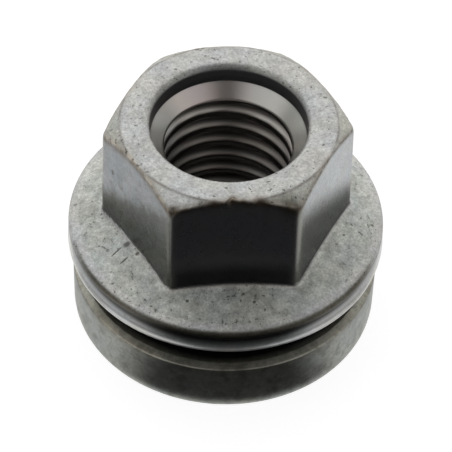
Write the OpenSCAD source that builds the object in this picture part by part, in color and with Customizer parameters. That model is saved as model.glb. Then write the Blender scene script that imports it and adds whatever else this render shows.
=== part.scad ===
// Wheel nut: a hexagon nut with a conical flange, carrying a captive washer.
// The washer is held by the nut's collar, whose end is staked out below it, and spins freely.
// +Z is the thread axis, and z = 0 is the washer's bearing face.

/* [Hexagon] */
// Height of the top face above the bearing face
nut_h = 23.8; // [21:0.1:28]
// Width across flats where the hexagon meets the flange
hex_af = 21; // [19:0.1:23]
// Draft of each flat, in degrees
hex_draft = 1; // [0:0.25:2]
// How far each corner of the hexagon is cut back, along the radius
corner_cut = 0.15; // [0.05:0.05:0.4]
// Diameter of the flat part of the top face
crown_d = 20.5; // [18:0.1:21]
// Slope of the crown chamfer, in degrees below the top face
crown_slope = 38; // [20:1:50]

/* [Flange] */
// Diameter of the flange at its top edge
flange_d = 30.56; // [28:0.04:34]
// Slope of the flange's top, in degrees
flange_slope = 20; // [10:1:28]
// Height of the rim, from the underside to the top edge
rim_h = 2.35; // [1.8:0.05:4]
// Radius of the rim's top edge
rim_edge_r = 0.45; // [0.2:0.05:0.8]
// How far the lip stands out past the top edge
lip_out = 0.08; // [0.02:0.02:0.4]
// Height of the lip's outer edge
lip_h = 0.1; // [0.05:0.05:0.3]
// Depth of the cove behind the line from the top edge to the lip
cove_depth = 0.42; // [0.1:0.02:0.6]

/* [Bore] */
// Minor diameter of the M14 x 2 thread
thread_minor_d = 12.1; // [11.8:0.05:12.4]
// Diameter of the smooth counterbore above the thread
counterbore_d = 14.76; // [14.1:0.02:16]
// Depth of the counterbore below the top face
counterbore_depth = 1.85; // [1:0.05:4]
// Slope of the cones that lead into the thread, in degrees
lead_slope = 45; // [30:1:60]
// Width of the bevel round the top opening
entry_bevel = 0.4; // [0.1:0.05:0.8]
// Diameter of the countersink at the lower end of the thread
exit_d = 15.6; // [14:0.1:16.4]

/* [Neck and collar] */
// Height of the open groove between the washer's crest and the flange
groove_h = 3.1; // [2:0.05:5]
// Diameter of the neck between the flange and the seat
neck_d = 25.2; // [22:0.1:27]
// Radius of the fillet between the neck and the flange
neck_fillet = 1; // [0.2:0.1:1.4]
// Diameter of the collar that passes through the washer
collar_d = 17.2; // [16.6:0.1:18.4]
// Height of the collar's staked end above the bearing face
stake_lift = 0.5; // [0.3:0.1:0.9]

/* [Washer] */
// Outer diameter of the washer
washer_d = 29.88; // [28:0.04:34]
// Height of the washer's outer edge
washer_h = 5.4; // [4.8:0.1:8]
// Width of the band round the washer's top
band_w = 0.8; // [0.4:0.1:1.4]
// Rise of that band from the outer edge to its crest
band_rise = 0.24; // [0.04:0.04:0.6]
// Slope of the conical seat inside the band, in degrees
seat_slope = 22; // [12:1:27]
// Height of the countersink round the staked end
stake_h = 2.3; // [1.6:0.1:2.6]
// Slope of that countersink, in degrees
stake_slope = 45; // [35:1:55]
// Radius of the washer's bottom edge
foot_r = 0.5; // [0.2:0.1:1]

/* [Clearances] */
// Gap between the nut's seat and the washer, square to the seat
seat_gap = 0.15; // [0.1:0.05:0.4]
// Radial gap between the collar and the washer's hole
collar_gap = 0.3; // [0.1:0.05:0.5]
// Gap between the staked end and its countersink, square to the cone
stake_gap = 0.3; // [0.1:0.05:0.4]

/* [Hidden] */
$fn = 96;
arc_steps = 8;
cut_margin = 1;

flange_r = flange_d / 2;
lip_r = flange_r + lip_out;
neck_r = neck_d / 2;
collar_r = collar_d / 2;
minor_r = thread_minor_d / 2;
counterbore_r = counterbore_d / 2;
exit_r = exit_d / 2;
washer_r = washer_d / 2;
washer_hole_r = collar_r + collar_gap;

// Heights, from the bearing face up
crest_r = washer_r - band_w;
crest_z = washer_h + band_rise;
under_z = crest_z + groove_h;
rim_z = under_z + rim_h;
lip_z = under_z + lip_h;
exit_z = stake_lift + (exit_r - minor_r) * tan(lead_slope);
counterbore_z = nut_h - counterbore_depth;
lead_z = counterbore_z - (counterbore_r - minor_r) * tan(lead_slope);

// The washer's dish, the nut's seat above it and the flange's top, as heights at a radius
function dish_z(r) = crest_z - (crest_r - r) * tan(seat_slope);
function seat_z(r) = dish_z(r) + seat_gap / cos(seat_slope);
function flange_top_z(r) = rim_z + (flange_r - r) * tan(flange_slope);

// The washer's countersink and the staked cone inside it
function stake_hole_z(r) = stake_h - (r - washer_hole_r) * tan(stake_slope);
function stake_z(r) = stake_hole_z(r) - stake_gap / cos(stake_slope);
stake_r = collar_r + (stake_z(collar_r) - stake_lift) / tan(stake_slope);
stake_hole_r = washer_hole_r + stake_h / tan(stake_slope);

// The hexagon is measured at the height where its corners run into the flange
sharp_r = hex_af / 2 / cos(30);
hex_z = flange_top_z(sharp_r);
function corner_r(z) = (hex_af / 2 - (z - hex_z) * tan(hex_draft)) / cos(30) - corner_cut;

// Points of an arc about [x, y], from one angle to another
function arc(x, y, r, from, to) =
    [for (i = [0 : arc_steps]) let (a = from + (to - from) * i / arc_steps) [x + r * cos(a), y + r * sin(a)]];

// The hexagon without its flange: drafted flats, trimmed corners and a chamfered crown
module hexagon() {
    rise = nut_h - rim_z;
    difference() {
        intersection() {
            translate([0, 0, rim_z])
                cylinder(h = rise, r1 = corner_r(rim_z), r2 = corner_r(nut_h));
            translate([0, 0, rim_z])
                cylinder(h = rise, r1 = crown_d / 2 + rise / tan(crown_slope), r2 = crown_d / 2);
        }
        for (side = [0 : 5])
            rotate([0, 0, 60 * side + 30])
                translate([hex_af / 2, 0, hex_z])
                    rotate([0, -hex_draft, 0])
                        translate([0, -hex_af / 2, -hex_z])
                            cube([hex_af / 2, hex_af, hex_z + nut_h]);
    }
}

// The turned part of the nut: flange, coved rim, neck, seat cone and staked collar
module flange_and_collar() {
    edge_turn = 90 - flange_slope;
    edge_x = flange_r - rim_edge_r;
    edge_y = flange_top_z(edge_x) - rim_edge_r / cos(flange_slope);
    cove_h = edge_y - lip_z;
    cove_chord = norm([lip_out, cove_h]);
    cove_r = pow(cove_chord, 2) / (8 * cove_depth) + cove_depth / 2;
    cove_lean = atan2(lip_out, cove_h);
    cove_half = asin(cove_chord / 2 / cove_r);
    cove_x = (flange_r + lip_r) / 2 + (cove_r - cove_depth) * cos(cove_lean);
    cove_y = (edge_y + lip_z) / 2 + (cove_r - cove_depth) * sin(cove_lean);
    cove_middle = 180 + cove_lean;
    rotate_extrude()
        polygon(concat(
            [[0, flange_top_z(0)]],
            arc(edge_x, edge_y, rim_edge_r, edge_turn, 0),
            arc(cove_x, cove_y, cove_r, cove_middle - cove_half, cove_middle + cove_half),
            [[lip_r, under_z]],
            arc(neck_r + neck_fillet, under_z - neck_fillet, neck_fillet, 90, 180),
            [[neck_r, seat_z(neck_r)],
             [collar_r, seat_z(collar_r)],
             [collar_r, stake_z(collar_r)],
             [stake_r, stake_lift],
             [0, stake_lift]]
        ));
}

// The way through the nut: bevel, counterbore, lead cone, thread wall and lower countersink
module bore() {
    rotate_extrude()
        polygon([
            [0, stake_lift - cut_margin],
            [exit_r, stake_lift - cut_margin],
            [exit_r, stake_lift],
            [minor_r, exit_z],
            [minor_r, lead_z],
            [counterbore_r, counterbore_z],
            [counterbore_r, nut_h - entry_bevel],
            [counterbore_r + entry_bevel, nut_h],
            [counterbore_r + entry_bevel, nut_h + cut_margin],
            [0, nut_h + cut_margin]
        ]);
}

module nut() {
    color([0.66, 0.66, 0.64])
        difference() {
            union() {
                hexagon();
                flange_and_collar();
            }
            bore();
        }
}

// The captive washer: dished on top for the seat, countersunk below for the staked collar
module captive_washer() {
    color([0.45, 0.44, 0.41])
        rotate_extrude()
            polygon(concat(
                [[washer_hole_r, stake_h],
                 [stake_hole_r, 0]],
                arc(washer_r - foot_r, foot_r, foot_r, -90, 0),
                [[washer_r, washer_h],
                 [crest_r, crest_z],
                 [washer_hole_r, dish_z(washer_hole_r)]]
            ));
}

nut();
captive_washer();
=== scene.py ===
import math
from types import SimpleNamespace

import bpy
import numpy as np
from mathutils import Matrix, Vector, noise


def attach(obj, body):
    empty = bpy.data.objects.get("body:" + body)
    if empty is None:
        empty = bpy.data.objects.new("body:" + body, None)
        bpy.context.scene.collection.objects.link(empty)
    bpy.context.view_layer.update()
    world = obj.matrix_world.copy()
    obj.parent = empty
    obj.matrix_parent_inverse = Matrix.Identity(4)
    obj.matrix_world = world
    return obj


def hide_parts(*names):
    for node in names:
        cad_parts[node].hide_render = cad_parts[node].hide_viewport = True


# Looks of the wheel nut: a detailed nut with its cut thread, the captive washer and a studio
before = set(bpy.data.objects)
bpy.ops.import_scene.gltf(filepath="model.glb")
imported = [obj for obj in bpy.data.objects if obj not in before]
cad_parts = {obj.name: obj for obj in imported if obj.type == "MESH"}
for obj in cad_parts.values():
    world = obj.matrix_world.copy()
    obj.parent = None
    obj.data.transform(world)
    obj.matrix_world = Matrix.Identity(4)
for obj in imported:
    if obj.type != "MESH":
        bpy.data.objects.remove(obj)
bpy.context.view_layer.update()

MM = 0.001

# Hexagon and crown, in millimetres and degrees
NUT_H = 23.8
HEX_AF = 21.0
HEX_DRAFT = 1.0
HEX_CORNER_R = 0.95
CROWN_R = 10.25
CROWN_SLOPE = 38.0

# Flange and rim
FLANGE_R = 15.28
FLANGE_SLOPE = 20.0
RIM_H = 2.35
RIM_EDGE_R = 0.6
LIP_OUT = 0.08
LIP_H = 0.1
LIP_EASE = 0.04
COVE_DEPTH = 0.42

# Bore and thread
MINOR_R = 6.05
MAJOR_R = 7.0
PITCH = 2.0
THREAD_HALF_ANGLE = 30.0
THREAD_EASE = 0.07
THREAD_START_DEG = 318.5
THREAD_FADE_TOP = 20.7
THREAD_FADE_LENGTH = 0.7
COUNTERBORE_R = 7.38
COUNTERBORE_DEPTH = 1.85
ENTRY_BEVEL = 0.4
EXIT_R = 7.8

# Neck, seat and collar
GROOVE_H = 3.1
NECK_R = 12.6
NECK_FILLET = 1.0
COLLAR_R = 8.6
STAKE_LIFT = 0.5
SEAT_GAP = 0.15
COLLAR_GAP = 0.3
STAKE_GAP = 0.3

# Washer
WASHER_R = 14.94
WASHER_H = 5.4
BAND_W = 0.8
BAND_RISE = 0.24
SEAT_SLOPE = 22.0
STAKE_H = 2.3
FOOT_R = 0.5

# Radii that ease the corners of each outline, in the order in which it runs
OPENING_ROUNDS = (0.6, 0.65)
UNDER_ROUNDS = (NECK_FILLET, 0.2, 0.3, 0.3, 0.12, 0.15)
LEAD_ROUNDS = (0.12,)
WASHER_ROUNDS = (0.15, 0.15, 0.15, 0.1, 0.18, FOOT_R)

# Rows of the nut's mesh, and how often its edges are smoothed over them
CROWN_ROWS = 60
BASE_ROWS = 48
THREAD_ROWS_PER_PITCH = 16
EDGE_PASSES = 4
CORNER_PASSES = 20
FOOT_PASSES = 3
BLUNT_CORNER_DEG = 5.0

# Stretches of the nut's outline, in the order in which it runs
OPENING, CROWN, BASE, RIM, UNDER, THREAD, LEAD = range(7)

# The camera, as fitted to the photograph, and how the hexagon is turned in it
PHOTO_TURN = 4.808
CAMERA_ELEVATION = 47.688
CAMERA_ROLL = 1.955
CAMERA_DISTANCE = 227.636
CAMERA_TARGET = (0.04, 0.0, 9.348)
FOCAL_PIXELS = 2332.0
IMAGE_PIXELS = 452
SENSOR_MM = 36.0

# Colours of the coat, as linear red, green and blue; some are painted light and shade, as marked
TOP_GREY = (0.555, 0.555, 0.545)
FLANGE_GREY = (0.495, 0.51, 0.485)
SIDE_GREY = (0.325, 0.34, 0.355)
# Painted shade low on the side flats
STAINED_GREY = (0.145, 0.15, 0.135)
# Painted shade: the flat that faces the front, darker still towards its foot
FRONT_GREY = (0.25, 0.25, 0.275)
FRONT_STAIN = (0.055, 0.055, 0.06)
# Painted light: one flat made lighter, with painted shade low on it
BRIGHT_GREY = (0.51, 0.525, 0.535)
BRIGHT_STAIN = (0.068, 0.072, 0.068)
CORNER_GREY = (0.4, 0.4, 0.37)
SMUDGE_OLIVE = (0.1, 0.105, 0.085)
CHAMFER_OLIVE = (0.5, 0.5, 0.445)
# Painted highlight on the chamfer at one corner
CLEAN_GREY = (0.72, 0.72, 0.7)
# Painted shade on the far side of the opening's bevel
RING_OLIVE = (0.17, 0.17, 0.15)
CHIP_BROWN = (0.135, 0.095, 0.07)
# Painted highlight along the hexagon's foot
FOOT_TAN = (0.5, 0.44, 0.37)
RIM_GREY = (0.45, 0.46, 0.465)
# Painted shade under the rim's edge
RIM_EDGE_OLIVE = (0.125, 0.118, 0.096)
UNDER_EDGE_GREY = (0.045, 0.045, 0.042)
# Painted highlight on the rim's lip
LIP_GREY = (0.85, 0.85, 0.84)
# Painted shade in the groove, on the underside and on the washer's dish
GROOVE_GREY = (0.05, 0.05, 0.05)
THREAD_GREY = (0.55, 0.52, 0.49)
# Painted shade on the thread's crests, in its roots and deeper down
CREST_GREY = (0.12, 0.11, 0.1)
DEEP_GREY = (0.095, 0.083, 0.075)
CONE_GREY = (0.54, 0.535, 0.5)
CONE_PINK = (0.56, 0.49, 0.475)
# Painted shade on the counterbore's wall
WALL_GREY = (0.18, 0.18, 0.195)
WASHER_GREY = (0.345, 0.355, 0.33)
BAND_GREY = (0.53, 0.515, 0.44)
EDGE_BROWN = (0.13, 0.1, 0.07)
# Tan of worn edges, partly a painted highlight
EDGE_TAN = (0.72, 0.66, 0.56)
COOL_CAST = (0.98, 1.0, 1.01)
WARM_CAST = (1.01, 1.0, 0.965)
SPECK_DARK = (0.07, 0.065, 0.055)

# Flats painted apart from the rest, counted from the one that starts at +X: one rubbed, one with painted
# shade and one with painted light
RUBBED_FLAT = 3
FRONT_FLAT = 4
BRIGHT_FLAT = 5

# Waves in the worn crown's edge: depth in millimetres, waves in a turn and seed
CROWN_WEAR = (
    (0.09, 60, 3.7),
    (0.05, 170, 9.1),
)

# Chips in the crown's edge: angle and half width in degrees, then depth and reach in millimetres
CHIPS = (
    (268.4, 2.8, 0.28, 0.6),
    (282.6, 3.0, 0.2, 0.5),
    (273.5, 2.0, 0.1, 0.3),
    (259.0, 3.0, 0.08, 0.3),
    (298.0, 3.0, 0.05, 0.6),
    (240.5, 2.5, 0.2, 0.5),
)

# The corner whose chamfer gets a painted highlight: angle and half width in degrees
CLEAN_CORNER = (240.0, 14.0)

# A dark smudge on the crown's edge: angle and half width in degrees, then reach in millimetres
CROWN_SMUDGE = (296.5, 5.0, 1.2)

# A pink cast on the lead cone: angle and half width in degrees
PINK_CAST = (105.0, 38.0)

# The flange's edge is rubbed down a little on one side: angle and half width in degrees, then depth
RUBBED_EDGE = (239.0, 20.0, 0.16)

# Painted shade up the flats, darker below its line: the line's height at the corner that is further from
# the front, then its climb to the nearer one
SIDE_STAIN = (3.2, 6.5)
BRIGHT_FLAT_STAIN = (2.9, 6.0)
FRONT_STAIN_H = 3.8
UNSTAINED = -9.0

# Marks in the coat: centre, half sizes in millimetres and turn in degrees
NICKS = (
    ((-10.75, -5.53, 12.2), (0.8, 0.11, 1.0), 37.0),
    ((-10.07, -6.67, 12.2), (0.65, 0.1, 1.0), 33.9),
    ((-9.76, -5.01, 12.6), (0.38, 0.32, 1.0), 20.0),
    ((-8.81, -6.3, 12.7), (0.22, 0.2, 1.0), 0.0),
    ((-4.33, -11.78, 12.1), (0.2, 0.16, 1.0), 0.0),
    ((1.9, -12.21, 12.1), (0.2, 0.15, 1.0), 30.0),
    ((0.91, -11.46, 12.5), (0.18, 0.14, 1.0), 0.0),
    ((-10.92, -1.84, 19.3), (0.2, 0.2, 0.4), 0.0),
    ((-0.66, -9.97, 23.7), (0.6, 0.08, 0.6), 41.6),
    ((-0.1, -9.72, 23.7), (0.22, 0.07, 0.6), -38.0),
    ((1.36, -8.65, 23.8), (0.26, 0.07, 0.5), -52.0),
    ((3.1, -7.84, 23.8), (0.3, 0.08, 0.5), 11.0),
)

# How much of each coat shines as metal, and the depth of its grain in millimetres
NUT_METAL = 0.9
WASHER_METAL = 0.85
GRAIN_DEPTH = 0.06

# Radius of the light tent, in metres
TENT_R = 0.5

# Lamps behind the tent: the way to each, the cosine at its edge and its strength
LAMPS = (
    ((0.0, 0.1, 1.0), 0.7, 0.12),
    ((-0.45, 0.2, 0.87), 0.85, 0.5),
    ((0.45, 0.15, 0.88), 0.85, 0.1),
    ((-0.62, -0.4, 0.68), 0.78, 0.7),
    ((0.68, -0.3, 0.68), 0.78, 0.6),
)

# The cosine from which a lamp is at its full strength
LAMP_CORE = 0.98

# The dark cloth in front of the object: turns from its middle between which it fades, and its own turn
CLOTH_FADE = (27.0, 55.0)
CLOTH_TURN = 3.0

# How bright the metal mirrors the cloth and the floor
CLOTH_LEVEL = 0.015
PALE_LEVEL = 0.85

# How bright the floor shows by itself, then its grey under the lamps, in the open and below the bore,
# where it is painted shade
FLOOR_GLOW = 0.87
FLOOR_GREY = 0.3
UNLIT_GREY = 0.01

# Half width of the pale floor in metres, then heights of the floors in millimetres, a little apart
FLOOR_HALF = 2.0
FLOOR_Z = -0.02
BORE_FLOOR_Z = 0.02
MIRRORED_FLOOR_Z = 0.05

# Outer radius of the mirrored floor in millimetres, and sides of the round floors
MIRRORED_FLOOR_R = 450.0
CIRCLE_SIDES = 64

# Heights and radii that follow from the sizes above
CREST_R = WASHER_R - BAND_W
CREST_Z = WASHER_H + BAND_RISE
UNDER_Z = CREST_Z + GROOVE_H
RIM_Z = UNDER_Z + RIM_H
LIP_R = FLANGE_R + LIP_OUT
LIP_Z = UNDER_Z + LIP_H
EXIT_Z = STAKE_LIFT + EXIT_R - MINOR_R
COUNTERBORE_Z = NUT_H - COUNTERBORE_DEPTH
LEAD_Z = COUNTERBORE_Z - (COUNTERBORE_R - MINOR_R)
WASHER_HOLE_R = COLLAR_R + COLLAR_GAP
STAKE_HOLE_R = WASHER_HOLE_R + STAKE_H
STAKE_TOP_Z = STAKE_H + COLLAR_GAP - STAKE_GAP * math.sqrt(2)
STAKE_R = COLLAR_R + STAKE_TOP_Z - STAKE_LIFT

# Where one stretch of the nut's outline goes over into the next
TOP_MIDDLE_R = 9.1
HEX_MIDDLE_Z = NUT_H - 4.5
RIM_START_R = FLANGE_R - 0.9
UNDER_START_R = LIP_R - 0.5
WALL_MIDDLE_Z = COUNTERBORE_Z + 0.6


def tan(degrees):
    return math.tan(math.radians(degrees))


def flange_z(r):
    return RIM_Z + (FLANGE_R - r) * tan(FLANGE_SLOPE)


def dish_z(r):
    return CREST_Z - (CREST_R - r) * tan(SEAT_SLOPE)


def seat_z(r):
    return dish_z(r) + SEAT_GAP / math.cos(math.radians(SEAT_SLOPE))


HEX_Z = flange_z(HEX_AF / 2 / math.cos(math.radians(30)))


def ramp(value, low, high):
    """A smooth step from 0 to 1 between two values."""
    t = np.clip((value - low) / (high - low), 0, 1)
    return t * t * (3 - 2 * t)


def hump(angles, centre, half_width):
    """A smooth hump round the axis, 1 at its centre; both sizes are in degrees."""
    return np.exp(-((np.degrees(angles) - centre) / half_width) ** 2)


def near(grid, target, reach):
    """How close each outline point is to a target in its own column, from 0 to 1."""
    gap = np.linalg.norm(grid - target, axis=-1)
    return np.exp(-(gap / reach) ** 2)


def paint(colours, weight, colour):
    return colours + (np.array(colour) - colours) * weight[..., None]


def columns(corner_half=3.0, corner_steps=10, flat_steps=24, chipped_steps=64):
    """Angles round the nut, closer together at the corners and along the chipped edge."""
    corner = np.linspace(-corner_half, corner_half, corner_steps, endpoint=False)
    angles = []
    for k in range(6):
        steps = chipped_steps if k == FRONT_FLAT else flat_steps
        flat = np.linspace(corner_half, 60 - corner_half, steps, endpoint=False)
        angles.append(60 * k + np.concatenate([corner, flat]))
    return np.radians(np.concatenate(angles))


def hex_radius(angles, apothem):
    """Radius of a hexagon with rounded corners at each angle; corners lie at 0, 60, ... degrees."""
    thirty = math.radians(30)
    off_flat = np.abs((angles % (2 * thirty)) - thirty)
    off_corner = thirty - off_flat
    centre = (apothem - HEX_CORNER_R) / math.cos(thirty)
    across = np.minimum(centre * np.sin(off_corner), HEX_CORNER_R)
    on_round = centre * np.cos(off_corner) + np.sqrt(HEX_CORNER_R ** 2 - across ** 2)
    at_corner = apothem * np.tan(off_flat) > (apothem - HEX_CORNER_R) * math.tan(thirty)
    return np.where(at_corner, on_round, apothem / np.cos(off_flat))


def degrees_off_corner(angles):
    return np.abs((np.degrees(angles) + 30) % 60 - 30)


def point(r, z, count):
    """One outline point repeated for every column."""
    return np.stack([np.broadcast_to(r, count), np.broadcast_to(z, count)], axis=-1).astype(float)


def resample(points, count):
    """Walks each column's polyline in equal steps."""
    line = np.stack(points)
    lengths = np.linalg.norm(np.diff(line, axis=0), axis=-1)
    along = np.concatenate([np.zeros((1, line.shape[1])), np.cumsum(lengths, axis=0)])
    result = np.empty((count, line.shape[1], 2))
    for c in range(line.shape[1]):
        wanted = np.linspace(0, along[-1, c], count)
        for axis in range(2):
            result[:, c, axis] = np.interp(wanted, along[:, c], line[:, c, axis])
    return result


def soften(rows, passes):
    """Rounds the corners of resampled rows, and leaves both ends where they are."""
    rows = rows.copy()
    for _ in range(passes):
        rows[1:-1] = (rows[:-2] + 2 * rows[1:-1] + rows[2:]) / 4
    return rows


def arc(r, z, radius, start, end, steps):
    """Outline points on an arc, between two angles in degrees."""
    turns = np.radians(np.linspace(start, end, steps + 1))
    return np.stack([r + radius * np.cos(turns), z + radius * np.sin(turns)], -1)


def rim_outline(edge_steps=9, cove_steps=14, cove_skip_deg=2):
    """From the flange's top over its edge, down the cove and round the lip to the underside."""
    edge_r = FLANGE_R - RIM_EDGE_R
    edge_z = flange_z(edge_r) - RIM_EDGE_R / math.cos(math.radians(FLANGE_SLOPE))
    cove_h = edge_z - LIP_Z
    chord = math.hypot(LIP_OUT, cove_h)
    radius = chord ** 2 / (8 * COVE_DEPTH) + COVE_DEPTH / 2
    lean = math.atan2(LIP_OUT, cove_h)
    half = math.degrees(math.asin(chord / 2 / radius))
    cove_r = (FLANGE_R + LIP_R) / 2 + (radius - COVE_DEPTH) * math.cos(lean)
    cove_z = (edge_z + LIP_Z) / 2 + (radius - COVE_DEPTH) * math.sin(lean)
    middle = 180 + math.degrees(lean)
    return np.concatenate([
        [(RIM_START_R, flange_z(RIM_START_R)), (edge_r, flange_z(edge_r))],
        arc(edge_r, edge_z, RIM_EDGE_R, 90 - FLANGE_SLOPE, 0, edge_steps),
        arc(cove_r, cove_z, radius, middle - half + cove_skip_deg, middle + half, cove_steps),
        [(LIP_R, UNDER_Z + LIP_EASE), (LIP_R - LIP_EASE, UNDER_Z)]])


def rounded(points, radii, arc_steps=5, line_steps=2, room_share=0.98):
    """A polyline with each inner corner replaced by an arc, in the same steps for every column."""
    rows = [points[0][None]]
    last = points[0]
    for i in range(1, len(points) - 1):
        here = points[i]
        back = points[i - 1] - here
        ahead = points[i + 1] - here
        back_length = np.linalg.norm(back, axis=-1, keepdims=True)
        ahead_length = np.linalg.norm(ahead, axis=-1, keepdims=True)
        back = back / back_length
        ahead = ahead / ahead_length
        half = np.arccos(np.clip((back * ahead).sum(-1, keepdims=True), -1, 1)) / 2
        room = np.minimum(back_length, ahead_length) * room_share
        reach = np.minimum(radii[i - 1] / np.tan(half), room)
        start = here + back * reach
        end = here + ahead * reach
        for step in range(1, line_steps):
            rows.append((last + (start - last) * step / line_steps)[None])
        for step in range(arc_steps + 1):
            t = step / arc_steps
            rows.append(((1 - t) ** 2 * start + 2 * t * (1 - t) * here + t ** 2 * end)[None])
        last = end
    for step in range(1, line_steps + 1):
        rows.append((last + (points[-1] - last) * step / line_steps)[None])
    return np.concatenate(rows)


def thread_radius(z, angles):
    """Radius of a right-hand internal thread, with its corners eased."""
    turn = (np.degrees(angles) - THREAD_START_DEG) / 360
    phase = (z / PITCH - turn) % 1.0
    from_root = np.abs(phase - 0.5) * PITCH
    root_half = PITCH / 16
    depth = MAJOR_R - MINOR_R
    cut = depth - (from_root - root_half) / tan(THREAD_HALF_ANGLE)
    cut = 0.5 * (cut + np.sqrt(cut ** 2 + THREAD_EASE ** 2))
    over = cut - depth
    cut = depth + 0.5 * (over - np.sqrt(over ** 2 + THREAD_EASE ** 2))
    fade = np.clip((THREAD_FADE_TOP - z) / THREAD_FADE_LENGTH, 0, 1)
    return MINOR_R + cut * fade * fade * (3 - 2 * fade)


def ripple(angles, per_turn, seed):
    """A smooth random wave round the axis, between about -1 and 1."""
    reach = per_turn / (2 * math.pi)
    return np.array([noise.noise((reach * math.cos(a), reach * math.sin(a), seed)) for a in angles])


def hexagon_lines(angles):
    """Lines round the hexagon, as a radius and height in each column: crown edge, middle and foot."""
    side_low = hex_radius(angles, HEX_AF / 2)
    side_top = hex_radius(angles, HEX_AF / 2 - (NUT_H - HEX_Z) * tan(HEX_DRAFT))
    lean = (side_top - side_low) / (NUT_H - HEX_Z)
    fall = 1 / tan(CROWN_SLOPE)
    worn = sum(depth * np.abs(ripple(angles, waves, seed)) for depth, waves, seed in CROWN_WEAR)
    crown_z = (CROWN_R + NUT_H * fall - side_low + lean * HEX_Z) / (lean + fall) - worn
    crown_r = side_low + lean * (crown_z - HEX_Z) - worn / 2
    drop = tan(FLANGE_SLOPE)
    foot_z = (flange_z(0) - drop * (side_low - lean * HEX_Z)) / (1 + drop * lean)
    foot_r = side_low + lean * (foot_z - HEX_Z)
    middle_z = np.full(len(angles), HEX_MIDDLE_Z)
    middle_r = side_low + lean * (middle_z - HEX_Z)
    lines = ((crown_r, crown_z), (middle_r, middle_z), (foot_r, foot_z))
    return tuple(np.stack(line, -1) for line in lines)


def rubbed_rim(angles):
    """The rim's outline in every column, with its edge rubbed down on one side."""
    rim = np.repeat(rim_outline()[:, None], len(angles), axis=1)
    centre, half_width, depth = RUBBED_EDGE
    outward = ramp(rim[..., 0], RIM_START_R, FLANGE_R)
    upward = ramp(rim[..., 1], RIM_Z - 1.2, RIM_Z - 0.4)
    rim[..., 0] -= depth * hump(angles, centre, half_width) * outward * upward
    return rim


def cut_thread(grid, zone, angles):
    """Opens the bore's wall out to the thread."""
    bore = zone >= THREAD
    bore |= (zone == UNDER) & (grid[:, 0, 0] < EXIT_R - 0.1)
    wall = grid[bore]
    wall[..., 0] = np.maximum(wall[..., 0], thread_radius(wall[..., 1], angles[None, :]))
    grid[bore] = wall


def chip_crown(grid, zone, angles, crown_line):
    """Scoops the chips out of the crown's edge, and moves the edge's line with them."""
    top = grid[zone <= CROWN]
    for angle, half_width, depth, reach in CHIPS:
        scoop = depth * hump(angles, angle, half_width)
        top[..., 0] -= scoop * near(top, crown_line, reach)
        crown_line[:, 0] -= scoop
    grid[zone <= CROWN] = top


def nut_grid(angles):
    """Rows of outline points for each column, out over the top, down the outside and up the bore."""
    count = len(angles)
    crown_line, middle_line, foot_line = hexagon_lines(angles)
    wall_middle = point(COUNTERBORE_R, WALL_MIDDLE_Z, count)
    top_middle = point(TOP_MIDDLE_R, NUT_H, count)
    flange_end = point(RIM_START_R, flange_z(RIM_START_R), count)
    thread_end = point(MINOR_R, EXIT_Z, count)
    thread_top = point(MINOR_R, LEAD_Z, count)

    opening = rounded(
        [wall_middle, point(COUNTERBORE_R, NUT_H - ENTRY_BEVEL, count),
         point(COUNTERBORE_R + ENTRY_BEVEL, NUT_H, count), top_middle],
        OPENING_ROUNDS, line_steps=4)
    sharp = resample([top_middle, point(CROWN_R, NUT_H, count), crown_line, middle_line], CROWN_ROWS)
    blunt = np.exp(-(degrees_off_corner(angles) / BLUNT_CORNER_DEG) ** 2)[:, None]
    crown = soften(sharp, EDGE_PASSES) * (1 - blunt) + soften(sharp, CORNER_PASSES) * blunt
    base = soften(resample([middle_line, foot_line, flange_end], BASE_ROWS), FOOT_PASSES)
    under = rounded(
        [point(UNDER_START_R, UNDER_Z, count), point(NECK_R, UNDER_Z, count),
         point(NECK_R, seat_z(NECK_R), count), point(COLLAR_R, seat_z(COLLAR_R), count),
         point(COLLAR_R, STAKE_TOP_Z, count), point(STAKE_R, STAKE_LIFT, count),
         point(EXIT_R, STAKE_LIFT, count), thread_end],
        UNDER_ROUNDS, line_steps=3)
    thread = resample([thread_end, thread_top], int((LEAD_Z - EXIT_Z) / PITCH * THREAD_ROWS_PER_PITCH))
    lead = rounded(
        [thread_top, point(COUNTERBORE_R, COUNTERBORE_Z, count), wall_middle],
        LEAD_ROUNDS, line_steps=8)

    parts = [opening[:-1], crown[:-1], base[:-1], rubbed_rim(angles), under[:-1], thread[:-1], lead[:-1]]
    zone = np.repeat(np.arange(len(parts)), [len(part) for part in parts])
    grid = np.concatenate(parts)
    cut_thread(grid, zone, angles)
    chip_crown(grid, zone, angles, crown_line)
    return grid, zone, crown_line, foot_line


def grid_object(name, grid, angles):
    """A closed mesh from rows of (radius, height) at each column; it closes both ways."""
    rows, cols = grid.shape[:2]
    x = grid[..., 0] * np.cos(angles)
    y = grid[..., 0] * np.sin(angles)
    places = np.stack([x, y, grid[..., 1]], -1).reshape(-1, 3) * MM
    row = np.arange(rows)[:, None]
    col = np.arange(cols)[None, :]
    row_next = (row + 1) % rows
    col_next = (col + 1) % cols
    faces = np.stack([row * cols + col, row_next * cols + col,
                      row_next * cols + col_next, row * cols + col_next], -1).reshape(-1, 4)
    mesh = bpy.data.meshes.new(name)
    mesh.from_pydata(places.tolist(), [], faces.tolist())
    mesh.polygons.foreach_set("use_smooth", np.ones(len(faces), dtype=bool))
    piece = bpy.data.objects.new(name, mesh)
    bpy.context.scene.collection.objects.link(piece)
    return piece


def store(piece, name, values):
    attribute = piece.data.attributes.new(name, "FLOAT", "POINT")
    attribute.data.foreach_set("value", np.asarray(values, dtype=np.float32).ravel())


def store_colour(piece, name, colours):
    attribute = piece.data.attributes.new(name, "FLOAT_COLOR", "POINT")
    flat = np.concatenate([colours, np.ones(colours.shape[:-1] + (1,))], -1)
    attribute.data.foreach_set("color", flat.astype(np.float32).ravel())


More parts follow.
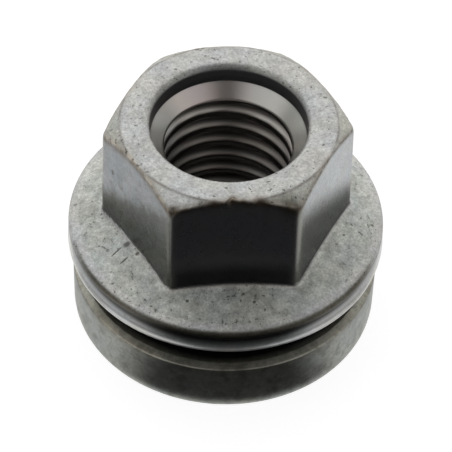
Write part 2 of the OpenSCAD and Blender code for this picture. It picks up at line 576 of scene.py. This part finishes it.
def nut_masks(grid, zone, angles, crown_line, foot_line):
    """Where the nut's parts, wear, painted shade and painted highlights lie on its grid, from 0 to 1;
    lengths are in millimetres.
    """
    m = SimpleNamespace()
    r = grid[..., 0]
    z = grid[..., 1]
    zone = np.broadcast_to(zone[:, None], r.shape)
    outside = (zone == CROWN) | (zone == BASE)
    crown_z = crown_line[:, 1]
    foot_r = foot_line[:, 0]
    foot_z = foot_line[:, 1]

    # Ways round the axis
    photo_angles = angles + math.radians(PHOTO_TURN)
    m.towards_back = ramp(np.sin(photo_angles), -0.1, 0.55)
    towards_front = ramp(-np.sin(photo_angles), 0.2, 0.6)
    flat = np.floor(np.degrees(angles) / 60) % 6
    m.rubbed_flat = flat == RUBBED_FLAT
    m.front_flat = flat == FRONT_FLAT
    # Painted highlight on the chamfer round one corner
    m.clean_corner = hump(angles, *CLEAN_CORNER)

    # Flats, their corners, and painted light and shade on them
    m.side = outside * ramp(crown_z - z, -0.02, 0.25) * ramp(z - foot_z, 0.0, 0.3)
    m.front = m.side * m.front_flat
    # Painted light on one flat
    m.bright = m.side * (flat == BRIGHT_FLAT)
    m.corner = np.exp(-(degrees_off_corner(angles) / 2.2) ** 2)[None, :] * m.side
    off_front = np.abs(np.degrees(angles) - 270)
    towards_front_corner = np.clip((90 - off_front) / 60, 0, 1)
    # Painted shade on the side flats: how far each point lies below its line
    m.stain_depth = HEX_Z + SIDE_STAIN[0] + SIDE_STAIN[1] * towards_front_corner - z
    # Painted shade low on the lit flat
    bright_stain_z = HEX_Z + BRIGHT_FLAT_STAIN[0] + BRIGHT_FLAT_STAIN[1] * towards_front_corner
    m.bright_stain = m.bright * ramp(bright_stain_z - z, -1.9, 1.9)
    # Painted shade low on the flat that faces the front
    m.front_stain = m.front * ramp(foot_z + FRONT_STAIN_H - z, 0.0, 2.4)
    below_crown = ramp(crown_z - z, 2.5, 5.0) * ramp(z - foot_z, 0.3, 2.0)
    m.below_crown = m.side * below_crown * (1 - m.front - m.bright)

    # Crown, with its chamfer, its worn edge with a painted highlight along it, and the ring round the
    # opening
    m.chamfer = outside * ramp(NUT_H - z, 0.05, 0.2) * ramp(z - crown_z, 0.0, 0.15)
    angle, half_width, reach = CROWN_SMUDGE
    m.crown_smudge = outside * hump(angles, angle, half_width) * near(grid, crown_line, reach)
    m.chipped = np.zeros(r.shape)
    for angle, half_width, _, reach in CHIPS:
        m.chipped = np.maximum(m.chipped, hump(angles, angle, half_width) * near(grid, crown_line, reach))
    m.above_edge = ramp(z - crown_z, -0.1, 0.1)
    edge_reach = np.where(m.rubbed_flat | m.front_flat, 0.5, 0.36)
    edge_above = np.where(m.front_flat, 0.8, 0.5)
    edge_line = crown_line - np.array([0.0, 0.22]) * m.rubbed_flat[:, None]
    m.crown_edge = outside * near(grid, edge_line, edge_reach) * (1 - (1 - edge_above) * m.above_edge)
    m.crown_ring = outside * near(grid, np.array([CROWN_R, NUT_H]), 0.13)
    # Tan wear along the crown's edge, partly a painted highlight
    m.ridge = outside * near(grid, crown_line + np.array([0.0, 0.06]), np.where(m.rubbed_flat, 0.2, 0.42))
    m.ring = (zone <= CROWN) * near(grid, np.array([COUNTERBORE_R + ENTRY_BEVEL, NUT_H]), 0.45)

    # Flange, rim and groove, with a painted highlight on the hexagon's foot and the lip, and painted shade
    # under the rim's edge and in the groove
    # Painted highlight along the hexagon's foot, stronger on the flat that faces the front
    m.foot = outside * near(grid, foot_line, 0.35)
    m.flange = outside * ramp(r - foot_r, 0.05, 0.5)
    m.beside_hexagon = m.flange * ramp(foot_r + 2.2 - r, 0.0, 1.6)
    m.margin = m.flange * ramp(r, FLANGE_R - 1.3, FLANGE_R - 0.5) * (1 - m.towards_back)
    on_rim = zone == RIM
    m.rim = on_rim * ramp(RIM_Z - 0.2 - z, 0.0, 0.2)
    # Painted shade in the cove under the rim's edge, with more of it towards the front just under the edge
    m.under_edge = m.rim * ramp(z, LIP_Z + 0.3, LIP_Z + 1.1)
    rim_edge = on_rim * ramp(r, FLANGE_R - 0.5, FLANGE_R - 0.15) * ramp(z, RIM_Z - 0.9, RIM_Z - 0.5)
    m.rim_edge = rim_edge * towards_front
    # Painted highlight on the lip
    m.lip = on_rim * near(grid, np.array([LIP_R - 0.08, LIP_Z + 0.03]), 0.25)
    # Painted shade on the underside in the groove, and on the rim just below the lip
    groove = (zone == UNDER) * ramp(z, STAKE_TOP_Z, STAKE_TOP_Z + 0.4)
    m.groove = np.maximum(groove, on_rim * ramp(LIP_Z - 0.06 - z, 0.0, 0.04))

    # Bore, from its bevel down to the thread, with painted shade on the bevel's far side, the wall, and
    # the thread's crests, roots and deeper turns
    bevel_z = NUT_H - ENTRY_BEVEL
    # Painted shade on the bevel, on its far side
    bevel = (zone == OPENING) * ramp(z, bevel_z - 0.05, bevel_z + 0.1)
    m.bevel = bevel * ramp(COUNTERBORE_R + ENTRY_BEVEL + 0.1 - r, 0.0, 0.25) * m.towards_back
    # Painted shade on the counterbore's wall
    upper_wall = (zone == OPENING) * ramp(bevel_z + 0.05 - z, 0.0, 0.15)
    m.wall = np.maximum(upper_wall, (zone == LEAD) * ramp(z, COUNTERBORE_Z - 0.05, COUNTERBORE_Z + 0.02))
    m.cone = (zone == LEAD) * 1.0
    m.pink = m.cone * hump(angles, *PINK_CAST)
    m.thread = (zone == THREAD) * 1.0
    # Painted shade on the thread's crests, in its roots and on the deeper turns
    m.crest = m.thread * ramp(MINOR_R + 0.2 - r, 0.0, 0.16)
    m.root = m.thread * ramp(r, MINOR_R + 0.3, MAJOR_R - 0.15)
    m.deep = m.thread * ramp(THREAD_FADE_TOP - z, 0.3, 5.0)
    return m


def nut_colours(m):
    """The coat's colour, painted light and shade included, laid on in layers: where, how strongly and what
    colour.
    """
    layers = (
        (m.flange, 1.0, FLANGE_GREY),
        (m.chamfer, 0.7 - 0.6 * m.clean_corner, CHAMFER_OLIVE),
        (m.chamfer * m.clean_corner, 1.0, CLEAN_GREY),
        (m.foot, np.where(m.front_flat, 0.5, 0.1), FOOT_TAN),
        (m.side, 1.0, SIDE_GREY),
        (m.bright, 1.0, BRIGHT_GREY),
        (m.bright_stain, 1.0, BRIGHT_STAIN),
        (m.front, 1.0, FRONT_GREY),
        (m.front_stain, 1.0, FRONT_STAIN),
        (m.corner, 0.7, CORNER_GREY),
        (m.rim, 1.0, RIM_GREY),
        (m.under_edge, 1.0, UNDER_EDGE_GREY),
        (m.rim_edge, 1.0, RIM_EDGE_OLIVE),
        (m.lip, 1.0, LIP_GREY),
        (m.groove, 1.0, GROOVE_GREY),
        (m.thread, 1.0, THREAD_GREY),
        (m.root, 1.0, DEEP_GREY),
        (m.crest, 1.0, CREST_GREY),
        (m.deep, 0.75, DEEP_GREY),
        (m.cone, 1.0, CONE_GREY),
        (m.pink, 1.0, CONE_PINK),
        (m.bevel, 0.45, RING_OLIVE),
        (m.wall, 1.0, WALL_GREY),
        (m.chipped, 1.0, CHIP_BROWN),
        (m.crown_smudge, 0.95, SMUDGE_OLIVE),
    )
    colours = np.broadcast_to(np.array(TOP_GREY), m.side.shape + (3,))
    for where, strength, colour in layers:
        colours = paint(colours, strength * where, colour)
    return colours


def nut_wear(m):
    """What the coat's material reads off the nut: wear, a painted highlight on the worn crown edge,
    painted shade up the flats, roughness and evenness.
    """
    stained_flats = m.side * (1 - m.front) * (1 - m.bright) > 0.5
    return {
        "edge": np.maximum.reduce([0.15 * m.corner, m.crown_edge, 0.8 * m.crown_ring]),
        # Tan wear along the crown's edge, partly a painted highlight
        "worn": m.ridge * np.where(m.rubbed_flat, 1.2, 0.35 * m.above_edge),
        # Painted shade up the side flats
        "stain": np.where(stained_flats, m.stain_depth, UNSTAINED),
        "mottle": np.maximum(m.flange, m.side * (0.6 - 0.5 * m.bright - 0.6 * m.front)),
        "smudge": np.maximum.reduce([0.45 * m.beside_hexagon, 0.45 * m.margin, 0.6 * m.below_crown]),
        "ring": m.ring * (0.2 + 0.28 * m.towards_back),
        "rough": 0.44 - 0.16 * m.side - 0.14 * m.rim - 0.08 * m.thread - 0.14 * m.cone,
        "even": np.maximum.reduce([0.6 * m.rim, 0.3 * m.side, 0.75 * m.front, m.thread, m.cone, m.wall]),
    }


def build_nut():
    angles = columns()
    grid, zone, crown_line, foot_line = nut_grid(angles)
    piece = grid_object("wheel_nut", grid, angles)
    masks = nut_masks(grid, zone, angles, crown_line, foot_line)
    store_colour(piece, "tint", nut_colours(masks))
    for name, values in nut_wear(masks).items():
        store(piece, name, values)
    return piece


def build_washer(columns_round=192):
    angles = np.radians(np.linspace(0, 360, columns_round, endpoint=False))
    count = len(angles)
    start = point((STAKE_HOLE_R + WASHER_R) / 2, 0, count)
    grid = rounded(
        [start, point(STAKE_HOLE_R, 0, count), point(WASHER_HOLE_R, STAKE_H, count),
         point(WASHER_HOLE_R, dish_z(WASHER_HOLE_R), count), point(CREST_R, CREST_Z, count),
         point(WASHER_R, WASHER_H, count), point(WASHER_R, 0, count), start],
        WASHER_ROUNDS, line_steps=5)[:-1]
    grid = grid[::-1]
    piece = grid_object("spinning_washer", grid, angles)
    r = grid[..., 0]
    z = grid[..., 1]
    band = ramp(z, WASHER_H - 0.1, WASHER_H + 0.05)
    # Painted shade on the washer's dish under the nut
    dish = ramp(CREST_R - r, 0.0, 0.2) * ramp(z, STAKE_H, STAKE_H + 0.2)
    colours = np.broadcast_to(np.array(WASHER_GREY), r.shape + (3,))
    colours = paint(colours, band, BAND_GREY)
    colours = paint(colours, dish, GROOVE_GREY)
    store_colour(piece, "tint", colours)
    store(piece, "edge", 0.35 * near(grid, np.array([WASHER_R, WASHER_H]), 0.3))
    store(piece, "smudge", 0.6 * ramp(r, WASHER_R - 0.9, WASHER_R - 0.5))
    throughout = {"ring": 0.0, "worn": 0.0, "stain": UNSTAINED, "mottle": 0.8, "rough": 0.38, "even": 0.35}
    for name, value in throughout.items():
        store(piece, name, np.full(r.shape, value))
    return piece


class Nodes:
    """Short calls for building a material's node tree."""

    def __init__(self, name):
        self.material = bpy.data.materials.new(name)
        self.material.use_nodes = True
        self.tree = self.material.node_tree
        self.tree.nodes.clear()
        self.output = self.tree.nodes.new("ShaderNodeOutputMaterial")

    def add(self, kind, **settings):
        made = self.tree.nodes.new("ShaderNode" + kind)
        for key, value in settings.items():
            setattr(made, key, value)
        return made

    def feed(self, socket, value):
        if isinstance(value, bpy.types.NodeSocket):
            self.tree.links.new(value, socket)
        else:
            socket.default_value = value

    def math(self, operation, a, b=0.0, clamp=False):
        made = self.add("Math", operation=operation, use_clamp=clamp)
        self.feed(made.inputs[0], a)
        self.feed(made.inputs[1], b)
        return made.outputs[0]

    def noise(self, coords, scale, detail=3.0, roughness=0.55):
        made = self.add("TexNoise")
        self.feed(made.inputs["Vector"], coords)
        made.inputs["Scale"].default_value = scale
        made.inputs["Detail"].default_value = detail
        made.inputs["Roughness"].default_value = roughness
        return made.outputs["Fac"]

    def spread(self, value, low, high, to_low=0.0, to_high=1.0):
        made = self.add("MapRange", interpolation_type="SMOOTHSTEP")
        for socket, given in zip(made.inputs[:5], (value, low, high, to_low, to_high)):
            self.feed(socket, given)
        return made.outputs[0]

    def mix(self, factor, a, b, blend="MIX"):
        made = self.add("Mix", data_type="RGBA", blend_type=blend)
        self.feed(made.inputs[0], factor)
        self.feed(made.inputs[6], a)
        self.feed(made.inputs[7], b)
        return made.outputs[2]

    def grey(self, value):
        made = self.add("CombineColor")
        for socket in made.inputs:
            self.feed(socket, value)
        return made.outputs[0]

    def attribute(self, name):
        return self.add("Attribute", attribute_name=name).outputs["Fac"]

    def way_from_middle(self):
        made = self.add("VectorMath", operation="NORMALIZE")
        self.feed(made.inputs[0], self.add("TexCoord").outputs["Object"])
        return made.outputs[0]

    def axes(self, vector):
        made = self.add("SeparateXYZ")
        self.feed(made.inputs[0], vector)
        return made.outputs

    def diffuse(self, level):
        made = self.add("BsdfDiffuse")
        made.inputs["Color"].default_value = (level, level, level, 1)
        return made.outputs[0]

    def glow(self, strength):
        made = self.add("Emission")
        made.inputs["Color"].default_value = (1, 1, 1, 1)
        self.feed(made.inputs["Strength"], strength)
        return made.outputs[0]

    def finish(self, surface):
        self.feed(self.output.inputs["Surface"], surface)
        return self.material


def mark(n, coords, centre, half_sizes, turn):
    """A small dent in the coat, as a mask in an ellipse."""
    off = n.add("VectorMath", operation="SUBTRACT")
    n.feed(off.inputs[0], coords)
    off.inputs[1].default_value = Vector(centre) * MM
    turned = n.add("VectorRotate", rotation_type="Z_AXIS")
    n.feed(turned.inputs["Vector"], off.outputs[0])
    turned.inputs["Angle"].default_value = math.radians(-turn)
    scaled = n.add("VectorMath", operation="DIVIDE")
    n.feed(scaled.inputs[0], turned.outputs[0])
    scaled.inputs[1].default_value = Vector(half_sizes) * MM
    reach = n.add("VectorMath", operation="LENGTH")
    n.feed(reach.inputs[0], scaled.outputs[0])
    return n.spread(reach.outputs["Value"], 0.55, 1.1, 1.0, 0.0)


def coated_steel(name, metal, nicks=()):
    """Dull coated steel: mottled, speckled, nicked and worn, with painted shade up the flats and a painted
    highlight on worn edges; scales of noise are per metre.
    """
    n = Nodes(name)
    coords = n.add("TexCoord").outputs["Object"]
    patch = n.noise(coords, 140.0, detail=2.0)
    cloud = n.noise(coords, 420.0, detail=4.0)
    smear = n.noise(coords, 800.0, detail=4.0, roughness=0.65)
    grain = n.noise(coords, 1700.0, detail=4.0, roughness=0.6)
    speck = n.noise(coords, 2300.0, detail=2.0, roughness=0.6)
    fine = n.noise(coords, 4600.0, detail=2.0, roughness=0.6)
    even = n.attribute("even")
    mottle = n.attribute("mottle")
    bare = n.math("SUBTRACT", 1.0, even)

    # Light and dark in the coat
    cloudy = n.spread(cloud, 0.3, 0.7, 0.91, 1.07)
    shade = n.math("MULTIPLY", cloudy, n.spread(grain, 0.25, 0.75, 0.84, 1.12))
    rub = n.math("MULTIPLY", n.spread(fine, 0.25, 0.75, 0.78, 1.2), bare)
    shade = n.math("MULTIPLY", shade, n.math("ADD", rub, even))
    blotch = n.spread(n.noise(coords, 1000.0, detail=3.0), 0.32, 0.68, -0.16, 0.12)
    shade = n.math("MULTIPLY", shade, n.math("ADD", n.math("MULTIPLY", blotch, mottle), 1.0))
    calm = n.spread(even, 0.0, 1.0, 0.0, 0.9)
    shade = n.math("ADD", n.math("MULTIPLY", shade, n.math("SUBTRACT", 1.0, calm)), calm)

    # Specks, pits, burrs round the opening and nicks
    dark = n.math("MULTIPLY", n.spread(speck, 0.6, 0.74), n.spread(patch, 0.42, 0.6, 0.2, 0.75))
    dark = n.math("MULTIPLY", dark, bare)
    pits = n.math("MULTIPLY", n.spread(speck, 0.61, 0.69), n.spread(patch, 0.34, 0.58, 0.3, 0.95))
    pits = n.math("MULTIPLY", pits, n.spread(bare, 0.8, 1.0))
    dark = n.math("MAXIMUM", dark, pits)
    burr = n.math("MULTIPLY", n.attribute("ring"), n.spread(grain, 0.46, 0.62))
    dark = n.math("MAXIMUM", dark, n.math("MULTIPLY", burr, 0.8))
    for centre, half_sizes, turn in nicks:
        dark = n.math("MAXIMUM", dark, mark(n, coords, centre, half_sizes, turn))

    # Colour, from the coat's own tint up to the specks
    tint = n.add("Attribute", attribute_name="tint").outputs["Color"]
    colour = n.mix(1.0, tint, n.grey(shade), "MULTIPLY")
    warmth = n.spread(n.noise(coords, 260.0, detail=3.0), 0.35, 0.65)
    colour = n.mix(1.0, colour, n.mix(warmth, (*COOL_CAST, 1), (*WARM_CAST, 1)), "MULTIPLY")
    # Painted shade up the flats, below a ragged line
    ragged = n.math("MULTIPLY", n.math("SUBTRACT", smear, 0.5), n.math("MULTIPLY", mottle, 4.0))
    stain = n.spread(n.math("ADD", n.attribute("stain"), ragged), -0.9, 1.0, 0.0, 0.93)
    colour = n.mix(stain, colour, n.mix(1.0, (*STAINED_GREY, 1), n.grey(shade), "MULTIPLY"))
    smudge = n.math("MULTIPLY", n.attribute("smudge"), n.spread(smear, 0.45, 0.66, 0.0, 0.8))
    colour = n.mix(smudge, colour, (*SMUDGE_OLIVE, 1))
    edge = n.math("MULTIPLY", n.attribute("edge"), n.spread(grain, 0.3, 0.6, 0.4, 1.0))
    colour = n.mix(edge, colour, (*EDGE_BROWN, 1))
    # Tan wear on edges, partly a painted highlight
    worn = n.math("MULTIPLY", n.attribute("worn"), n.spread(smear, 0.4, 0.58, 0.3, 0.9), clamp=True)
    colour = n.mix(worn, colour, (*EDGE_TAN, 1))
    colour = n.mix(n.math("MULTIPLY", dark, 0.8), colour, (*SPECK_DARK, 1))

    # Relief and shine
    height = n.math("ADD", n.math("MULTIPLY", grain, 0.5), n.math("MULTIPLY", cloud, 0.8))
    height = n.math("SUBTRACT", height, n.math("MULTIPLY", dark, 0.6))
    bump = n.add("Bump")
    n.feed(bump.inputs["Strength"], n.spread(even, 0.0, 1.0, 0.35, 0.0))
    bump.inputs["Distance"].default_value = GRAIN_DEPTH * MM
    n.feed(bump.inputs["Height"], height)
    unevenness = n.math("MULTIPLY", n.spread(grain, 0.2, 0.8, -0.05, 0.08), bare)
    shader = n.add("BsdfPrincipled")
    n.feed(shader.inputs["Base Color"], colour)
    shader.inputs["Metallic"].default_value = metal
    n.feed(shader.inputs["Roughness"], n.math("ADD", n.attribute("rough"), unevenness))
    n.feed(shader.inputs["Normal"], bump.outputs[0])
    return n.finish(shader.outputs[0])


def clear_from_below(n, surface):
    """Leaves a floor clear from below, where the underside of the object is to be seen."""
    shown = n.add("MixShader")
    n.feed(shown.inputs[0], n.add("NewGeometry").outputs["Backfacing"])
    n.feed(shown.inputs[1], surface)
    n.feed(shown.inputs[2], n.add("BsdfTransparent").outputs[0])
    return shown.outputs[0]


def floor_material():
    """A pale floor that shows white to the eye and in reflections, and still takes a shadow."""
    n = Nodes("pale_floor")
    path = n.add("LightPath")
    seen = n.math("MAXIMUM", path.outputs["Is Camera Ray"], path.outputs["Is Glossy Ray"])
    seen = n.math("MAXIMUM", seen, path.outputs["Is Transmission Ray"])
    both = n.add("AddShader")
    n.feed(both.inputs[0], n.diffuse(FLOOR_GREY))
    n.feed(both.inputs[1], n.glow(n.math("MULTIPLY", seen, FLOOR_GLOW)))
    return n.finish(clear_from_below(n, both.outputs[0]))


# A dark floor for under the bore: painted shade
def unlit_material():
    n = Nodes("unlit_floor")
    return n.finish(clear_from_below(n, n.diffuse(UNLIT_GREY)))


def tent_material():
    """Light of a photo tent: bright at the back and sides, with lamps above and in front."""
    n = Nodes("tent_light")
    way = n.way_from_middle()
    axes = n.axes(way)
    level = n.spread(axes["Y"], 0.0, 0.75, 0.0, 1.0)
    level = n.math("ADD", level, n.spread(axes["Y"], 0.7, 0.92, 0.04, 0.29))
    level = n.math("ADD", level, n.spread(n.math("ABSOLUTE", axes["X"]), 0.6, 0.95, 0.0, 0.2))
    for lamp_way, edge, strength in LAMPS:
        facing = n.add("VectorMath", operation="DOT_PRODUCT")
        n.feed(facing.inputs[0], way)
        facing.inputs[1].default_value = Vector(lamp_way).normalized()
        level = n.math("ADD", level, n.spread(facing.outputs["Value"], edge, LAMP_CORE, 0.0, strength))
    return n.finish(n.glow(level))


def mirrored_floor_material():
    """The floor as the metal mirrors it: pale, with a dark cloth in front that fades to both sides."""
    n = Nodes("mirrored_floor")
    axes = n.axes(n.way_from_middle())
    cloth_end, cloth_start = (-math.cos(math.radians(turn)) for turn in CLOTH_FADE)
    return n.finish(n.glow(n.spread(axes["Y"], cloth_end, cloth_start, CLOTH_LEVEL, PALE_LEVEL)))


def stage_object(name, vertices, faces, material):
    mesh = bpy.data.meshes.new(name)
    mesh.from_pydata(vertices, [], faces)
    mesh.materials.append(material)
    piece = bpy.data.objects.new(name, mesh)
    bpy.context.scene.collection.objects.link(piece)
    return piece


def circle(radius, z=0.0, sides=CIRCLE_SIDES):
    """Points round the axis, in metres."""
    turns = [2 * math.pi * side / sides for side in range(sides)]
    return [(radius * math.cos(turn), radius * math.sin(turn), z) for turn in turns]


def build_floor():
    half = FLOOR_HALF
    corners = [(-half, -half, 0), (half, -half, 0), (half, half, 0), (-half, half, 0)]
    floor = stage_object("floor", corners, [(0, 1, 2, 3)], floor_material())
    floor.location.z = FLOOR_Z * MM


def build_bore_floor():
    """The floor under the open bore, which hardly any light reaches: a dark disc of painted shade."""
    edge = circle(MAJOR_R * MM, BORE_FLOOR_Z * MM)
    stage_object("bore_floor", edge, [tuple(range(len(edge)))], unlit_material())


def build_tent(rings=12, sides=48):
    """A dome of soft light round the object, not seen by the camera."""
    vertices = [(0, 0, TENT_R)]
    for ring in range(1, rings + 1):
        tilt = math.radians(90 * ring / rings)
        vertices += circle(TENT_R * math.sin(tilt), TENT_R * math.cos(tilt), sides)
    faces = [(0, 1 + side, 1 + (side + 1) % sides) for side in range(sides)]
    for ring in range(rings - 1):
        for side in range(sides):
            a = 1 + ring * sides + side
            b = 1 + ring * sides + (side + 1) % sides
            faces.append((a, a + sides, b + sides, b))
    tent = stage_object("light_tent", vertices, faces, tent_material())
    tent.rotation_euler.z = math.radians(-PHOTO_TURN)
    tent.visible_camera = False
    tent.visible_shadow = False


def build_mirrored_floor():
    """A ring on the floor that only the metal's reflections see."""
    inner = circle(LIP_R * MM)
    outer = circle(MIRRORED_FLOOR_R * MM)
    sides = len(inner)
    faces = []
    for side in range(sides):
        following = (side + 1) % sides
        faces.append((side, sides + side, sides + following, following))
    ring = stage_object("mirrored_floor", inner + outer, faces, mirrored_floor_material())
    ring.location.z = MIRRORED_FLOOR_Z * MM
    ring.rotation_euler.z = math.radians(CLOTH_TURN - PHOTO_TURN)
    ring.visible_camera = False
    ring.visible_diffuse = False
    ring.visible_shadow = False
    ring.visible_transmission = False


def build_world():
    world = bpy.data.worlds.new("studio")
    bpy.context.scene.world = world
    world.use_nodes = True
    backdrop = world.node_tree.nodes["Background"]
    backdrop.inputs["Color"].default_value = (1, 1, 1, 1)
    backdrop.inputs["Strength"].default_value = 1.0


def build_camera():
    tilt = math.radians(CAMERA_ELEVATION)
    roll = math.radians(CAMERA_ROLL)
    back = Vector((0, -math.cos(tilt), math.sin(tilt)))
    level_right = Vector((1, 0, 0))
    level_up = Vector((0, math.sin(tilt), math.cos(tilt)))
    right = math.cos(roll) * level_right + math.sin(roll) * level_up
    up = math.cos(roll) * level_up - math.sin(roll) * level_right
    place = (Vector(CAMERA_TARGET) + CAMERA_DISTANCE * back) * MM
    pose = Matrix((right, up, back)).transposed().to_4x4()
    pose.translation = place
    lens = bpy.data.cameras.new("camera")
    lens.sensor_width = SENSOR_MM
    lens.lens = FOCAL_PIXELS / IMAGE_PIXELS * SENSOR_MM
    lens.clip_start = 0.01
    camera = bpy.data.objects.new("camera", lens)
    bpy.context.scene.collection.objects.link(camera)
    camera.matrix_world = Matrix.Rotation(math.radians(-PHOTO_TURN), 4, "Z") @ pose
    bpy.context.scene.camera = camera


nut = build_nut()
nut.data.materials.append(coated_steel("nut_coat", NUT_METAL, NICKS))
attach(nut, "nut")
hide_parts("nut")

washer = build_washer()
washer.data.materials.append(coated_steel("washer_coat", WASHER_METAL))
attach(washer, "washer")
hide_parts("captive_washer")

build_floor()
build_tent()
build_mirrored_floor()
build_bore_floor()
build_world()
build_camera()
bpy.context.scene.view_settings.view_transform = "Standard"
